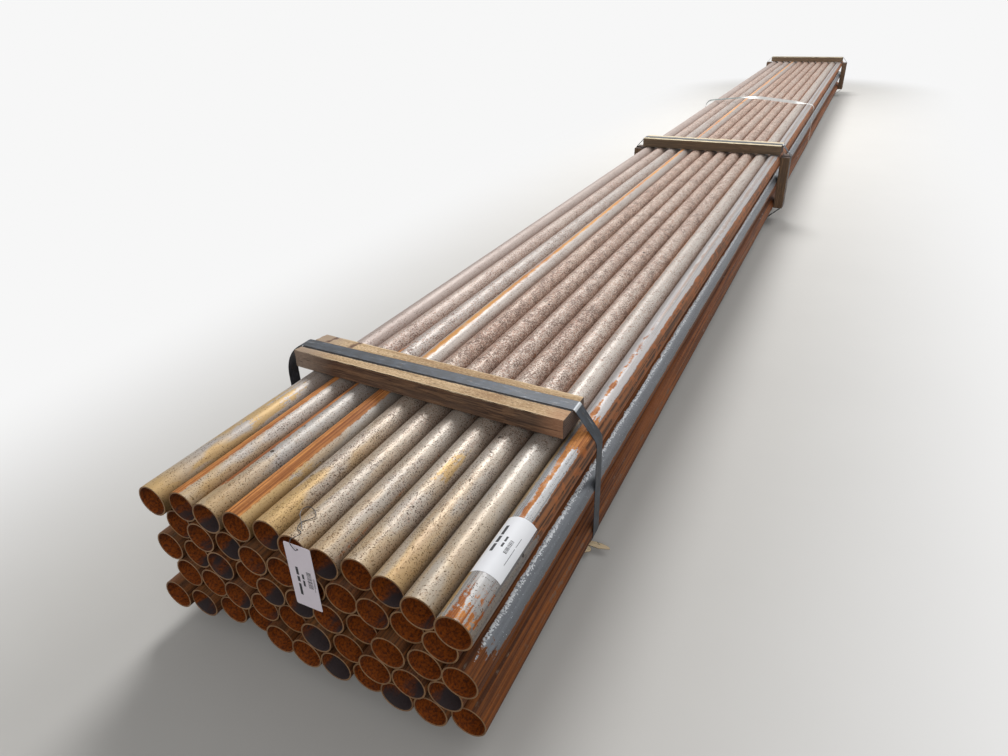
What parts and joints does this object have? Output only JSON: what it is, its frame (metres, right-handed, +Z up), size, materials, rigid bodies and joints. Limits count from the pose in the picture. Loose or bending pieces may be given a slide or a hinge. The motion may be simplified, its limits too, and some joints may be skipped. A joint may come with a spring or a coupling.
{
  "type": "bundle of steel pipes",
  "caption": "Strapped bundle of round steel pipes in nested tiers, with timber battens above and below, side uprights and steel straps.",
  "frame": {"origin": "on the floor, under the middle of the bundle's bounding box", "axes": "+Y along the pipes, from the near, tagged ends to the far ends; +Z up; +X to the right seen from the near ends"},
  "size_m": [0.794, 7.97, 0.3529],
  "materials": {
    "pipe_steel": "mill finish with a thin lacquer, brown rust bloom and streaks",
    "timber": "rough-sawn, weathered",
    "strap_steel": "dark blued strapping",
    "bright_steel": "bright galvanised",
    "wire_steel": "drawn wire",
    "tag_paper": "matt, of paper or card",
    "label_paper": "satin, of paper label stock"
  },
  "bodies": {
    "root": {"pipes_bottom_tier": "pipe_steel", "pipes_second_tier": "pipe_steel", "pipes_third_tier": "pipe_steel", "pipes_fourth_tier": "pipe_steel", "pipes_top_tier": "pipe_steel", "top_batten_front": "timber", "bottom_batten_front": "timber", "strap_front": "strap_steel", "top_batten_middle": "timber", "bottom_batten_middle": "timber", "strap_middle": "strap_steel", "upright_middle_left": "timber", "upright_middle_right": "timber", "top_batten_far": "timber", "bottom_batten_far": "timber", "strap_far": "strap_steel", "upright_far_left": "timber", "upright_far_right": "timber", "loose_tie": "bright_steel", "hang_tag": "tag_paper", "tag_wire": "wire_steel", "pipe_label": "label_paper"}
  },
  "joints": []
}
